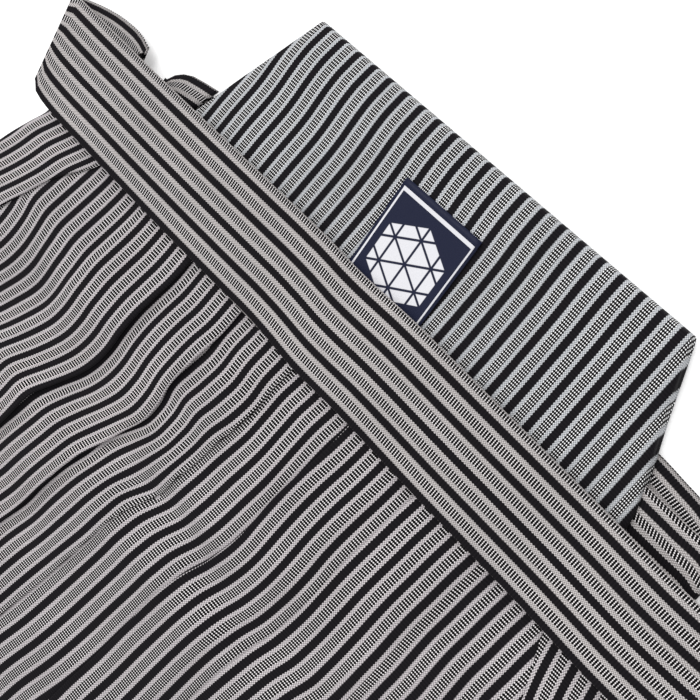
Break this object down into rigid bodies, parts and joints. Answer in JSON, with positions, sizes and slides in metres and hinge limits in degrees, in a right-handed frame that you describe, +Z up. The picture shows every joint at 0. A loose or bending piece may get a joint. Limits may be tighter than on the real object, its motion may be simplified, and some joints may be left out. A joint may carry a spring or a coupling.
{
  "type": "hakama trousers laid flat",
  "caption": "Pleated striped hakama laid flat, front up, with waist himo, stiff back board, folded back himo and side folds.",
  "frame": {"origin": "on the surface the garment lies on, under the middle of its outline", "axes": "+X along the waist to the right of the picture, +Y up the garment from hem to waist, +Z up off the surface, out of the garment's front"},
  "size_m": [0.7493, 0.9999, 0.0095],
  "materials": {
    "striped_cloth": "woven stripes of black, pale grey and a checked black and white band",
    "board_cloth": "the striped cloth stretched smooth over a stiff board",
    "himo_cloth": "the striped cloth, stripes running along the strap",
    "label_weave": "fine navy satin weave with a white woven motif"
  },
  "bodies": {
    "root": {"front_left": "striped_cloth", "front_right": "striped_cloth", "side_fold_left": "striped_cloth", "side_fold_right": "striped_cloth", "back_left": "striped_cloth", "back_right": "striped_cloth", "koshi_ita": "board_cloth", "front_himo": "himo_cloth", "back_himo_left": "himo_cloth", "back_himo_right": "himo_cloth", "label": "label_weave"}
  },
  "joints": []
}
